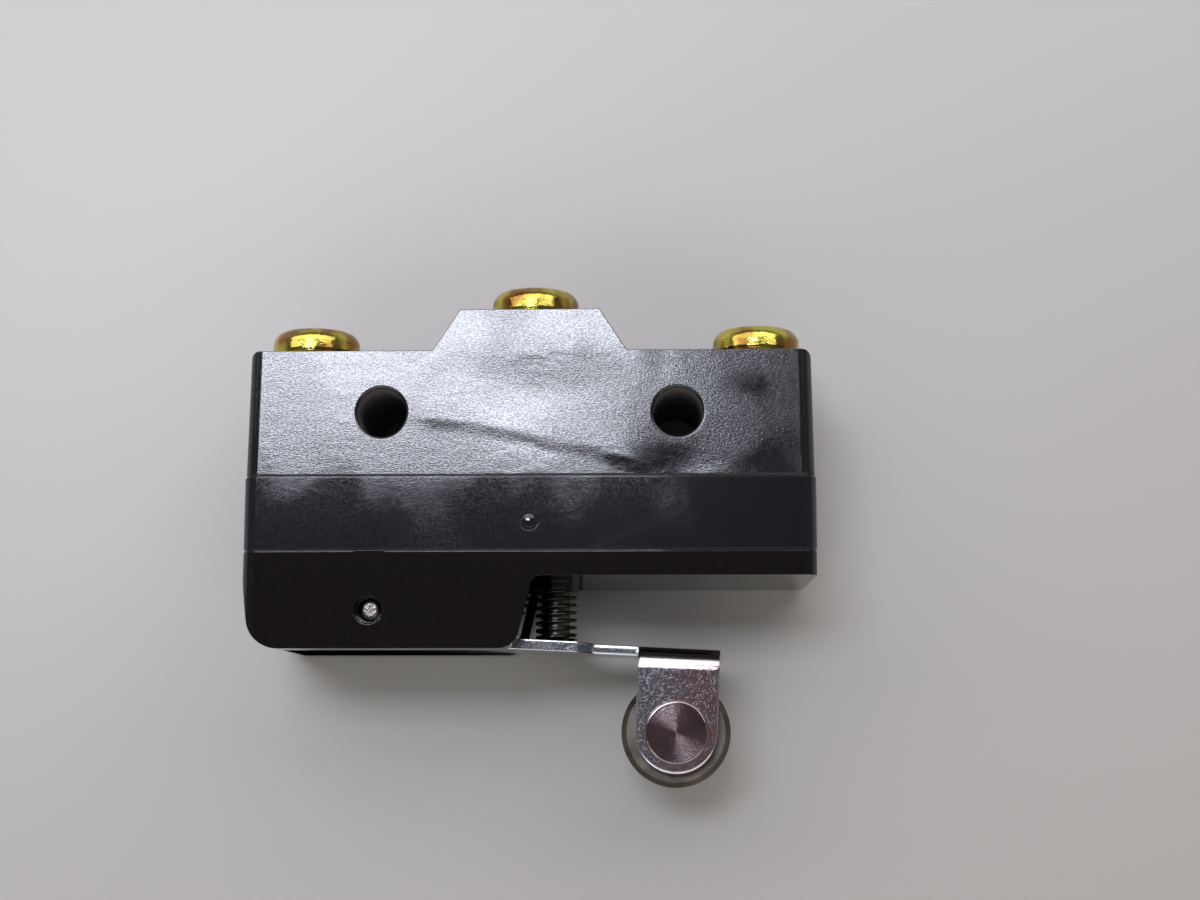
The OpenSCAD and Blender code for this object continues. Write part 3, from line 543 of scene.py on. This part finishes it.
def metal(name, tone, dull_and_reflection, rough, grain, relief=0.002, edge=0.06, form=None, glints=None):
    """Metal between two tones: its roughness, and its grain and edges in mm."""
    material, tree, surface = new_material(name)
    look = use_group(tree, METAL, Grain=grain, Relief=relief, Edge=edge)
    look.name = "look"
    if form:
        tree.links.new(form(tree), look.inputs["Form"])
    patch = fade(tree, look.outputs["Patches"], 0.35, 0.65)
    tree.links.new(mix_colour(tree, patch, dull_and_reflection, tone), surface.inputs["Base Color"])
    if glints:
        gloss = fade(tree, look.outputs["Grain"], 0.47, 0.67, rough, glints)
    else:
        gloss = fade(tree, look.outputs["Grain"], 0.3, 0.7, rough * 1.4, rough * 0.7)
    tree.links.new(gloss, surface.inputs["Roughness"])
    tree.links.new(look.outputs["Normal"], surface.inputs["Normal"])
    surface.inputs["Metallic"].default_value = 1.0
    return material


print("metal group nodes:", len(METAL.nodes))


# %% [markdown]
# The rivet head was faced on a lathe, so its flat carries fine rings round the
# rivet's axis. They are uneven, as the tool chattered: a one-dimensional noise of
# the distance from the axis gives just that.

# %% Turning marks
RING_PITCH = 0.16
RING_DEPTH = 0.004

rivet_low, rivet_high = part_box("roller_rivet")
rivet_axis = (rivet_low + rivet_high) / 2


def from_rivet(tree):
    """The level way from the rivet's axis to the point."""
    away = vectors(tree, "SUBTRACT", point(tree), tuple(rivet_axis))
    return vectors(tree, "MULTIPLY", away, (1, 1, 0))


def turned_rings(tree):
    """Rings round the rivet's axis, as a height in mm."""
    away = vectors(tree, "LENGTH", from_rivet(tree), give="Value")
    count = maths(tree, "MULTIPLY", away, 1 / MM / RING_PITCH)
    rings = add(tree, "ShaderNodeTexNoise", {"W": count, "Scale": 1.0, "Detail": 1.5},
                noise_dimensions="1D").outputs["Fac"]
    return maths(tree, "MULTIPLY", rings, RING_DEPTH)


print("rivet axis in mm:", [round(c / MM, 2) for c in rivet_axis])


# %% [markdown]
# The heads of the terminal screws are slightly domed all the way down, as a
# rolled head is. Their flat sides get that lean from a height that falls steadily
# along Y.

# %% Crowned heads
CROWN_LEAN = 0.09


def crown(tree):
    """A height in mm that falls along Y, and so leans every upright face towards +Y."""
    return maths(tree, "MULTIPLY", axes(tree)["Y"], -CROWN_LEAN / MM)


print("heads lean by", round(math.degrees(math.atan(CROWN_LEAN)), 1), "degrees")

# %% [markdown]
# Each metal has the colour of its plating or its own, and a second tone where it
# has dulled; on the lever the two tones are a painted reflection instead. Those
# inside the housing are brass, copper and silver, to carry the current. Those
# outside are zinc, nickel and plain steel, to last.

# %% Metal finishes
zinc = metal("yellow_zinc", colour(206, 196, 92), colour(150, 108, 56), rough=0.09,
             grain=0.45, relief=0.03, edge=0.1, form=crown)
# The lever's two colours are a painted reflection: bluish near the pivot, rosy at the far end.
nickel = metal("lever_plating", colour(204, 178, 181), colour(192, 197, 205), rough=0.06,
               grain=0.12, relief=0.005, edge=0.2, glints=0.24)
rivet = metal("turned_steel", colour(156, 140, 143), colour(134, 120, 124), rough=0.12,
              grain=0.10, form=turned_rings, glints=0.22)
pin_steel = metal("pin_end", colour(170, 164, 162), colour(104, 98, 96), rough=0.26,
                  grain=0.40, relief=0.04)
sinter = metal("sintered_steel", colour(104, 98, 90), colour(78, 74, 68), rough=0.40,
               grain=0.14, relief=0.008)
plunger_steel = metal("plunger_steel", colour(104, 100, 92), colour(76, 72, 66), rough=0.35,
                      grain=0.1)
wire = metal("spring_wire", colour(84, 80, 72), colour(52, 48, 42), rough=0.30, grain=0.1,
             edge=0.02)
brass = metal("plate_brass", colour(208, 184, 112), colour(176, 148, 84), rough=0.22,
              grain=0.12)
copper = metal("blade_copper", colour(200, 142, 104), colour(168, 112, 80), rough=0.22,
               grain=0.12)
silver = metal("contact_silver", colour(222, 220, 214), colour(190, 188, 182), rough=0.28,
               grain=0.1)
print("metals outside:", zinc.name, nickel.name, rivet.name, pin_steel.name, sinter.name)

# %% [markdown]
# Two finishes need a little more. The lever's long cut edges were tumbled round
# while its ears kept theirs, so its edge radius depends on height. Its colour is a
# painted reflection, bluish by the pivot and rosy at the far end. The turned rivet
# spreads the light outward from its axis, across its rings.

# %% Lever and rivet details
EAR_FOOT = 12.2 * MM
EAR_TOP = 13.0 * MM
TUMBLED_EDGE = 0.45
EAR_EDGE = 0.16
REFLECTION_TINT_FROM = 9.5 * MM
REFLECTION_TINT_TO = 15.5 * MM

tree = nickel.node_tree
look = tree.nodes["look"]
at = axes(tree)
lever_edge = fade(tree, at["Z"], EAR_FOOT, EAR_TOP, TUMBLED_EDGE, EAR_EDGE)
tree.links.new(lever_edge, look.inputs["Edge"])
# Painted reflection: bluish by the pivot, turning rosy towards the far end, in patches.
painted_reflection_tint = maths(tree, "MULTIPLY", fade(tree, at["X"], REFLECTION_TINT_FROM, REFLECTION_TINT_TO),
              fade(tree, look.outputs["Patches"], 0.2, 0.6))
tones = tree.nodes["Principled BSDF"].inputs["Base Color"].links[0].from_node
tree.links.new(painted_reflection_tint, tones.inputs[0])

tree = rivet.node_tree
surface = tree.nodes["Principled BSDF"]
surface.inputs["Anisotropic"].default_value = 0.9
tree.links.new(vectors(tree, "NORMALIZE", from_rivet(tree)), surface.inputs["Tangent"])
print("lever edge radius in mm:", TUMBLED_EDGE, "and", EAR_EDGE, "on its ears")

# %% [markdown]
# Now each piece gets its finish. The screws and the washers under them were
# plated in one barrel, so they share theirs.

# %% Finishes on the pieces
dress(zinc, "common_screw", "open_screw", "closed_screw",
      "common_washer", "open_washer", "closed_washer")
dress(nickel, "lever")
dress(pin_steel, "pivot_pin")
dress(sinter, "roller")
dress(rivet, "roller_rivet")
dress(plunger_steel, "plunger")
dress(wire, "return_spring")
dress(brass, "common_terminal", "open_terminal", "closed_terminal",
      "blade_anchor", "anchor_rivet")
dress(copper, "snap_blade")
dress(silver, "moving_contact", "open_contact", "closed_contact")


# %% [markdown]
# ## The return spring
#
# The solid of the spring has flat facets, which show on bright wire. A smooth one
# is wound here the way a spring is coiled: the round section of the wire is spun
# about the axis and fed along it. The feed per turn is one wire thickness at both
# ends, so that the spring stands square, and wider between them.

# %% Return spring
WIRE_D = 0.32 * MM
WIRE_SIDES = 12
TURNS = 8.5
CLOSED_TURNS = 0.75
CLOSED_FEED = WIRE_D * 1.05
STEPS_PER_TURN = 32


def wound_spring(low, high):
    """A coil along Y that fills the box from low to high."""
    axis = (low + high) / 2
    coil_r = (high.x - low.x - WIRE_D) / 2
    open_turns = TURNS - 2 * CLOSED_TURNS
    open_feed = (high.y - low.y - WIRE_D - 2 * CLOSED_TURNS * CLOSED_FEED) / open_turns
    bm = bmesh.new()
    ring = bmesh.ops.create_circle(
        bm, cap_ends=True, segments=WIRE_SIDES, radius=WIRE_D / 2)["verts"]
    bmesh.ops.translate(bm, verts=ring, vec=(axis.x + coil_r, low.y + WIRE_D / 2, axis.z))
    last = list(ring[0].link_faces)
    for turns, feed in ((CLOSED_TURNS, CLOSED_FEED), (open_turns, open_feed),
                        (CLOSED_TURNS, CLOSED_FEED)):
        steps = round(turns * STEPS_PER_TURN)
        spun = bmesh.ops.spin(
            bm, geom=last, cent=axis, axis=(0, 1, 0), dvec=(0, turns * feed / steps, 0),
            angle=turns * 2 * math.pi, steps=steps, use_duplicate=False)
        last = [g for g in spun["geom_last"] if isinstance(g, bmesh.types.BMFace)]
    bmesh.ops.recalc_face_normals(bm, faces=bm.faces)
    for face in bm.faces:
        face.smooth = len(face.verts) == 4
    data = bpy.data.meshes.new("wound_spring")
    bm.to_mesh(data)
    bm.free()
    return bpy.data.objects.new("wound_spring", data)


spring_low, spring_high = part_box("return_spring")
spring = wound_spring(spring_low, spring_high)
bpy.context.scene.collection.objects.link(spring)
spring.data.materials.append(wire)
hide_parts("return_spring")
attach(spring, "housing")
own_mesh(spring)
print("spring faces:", len(spring.data.polygons))
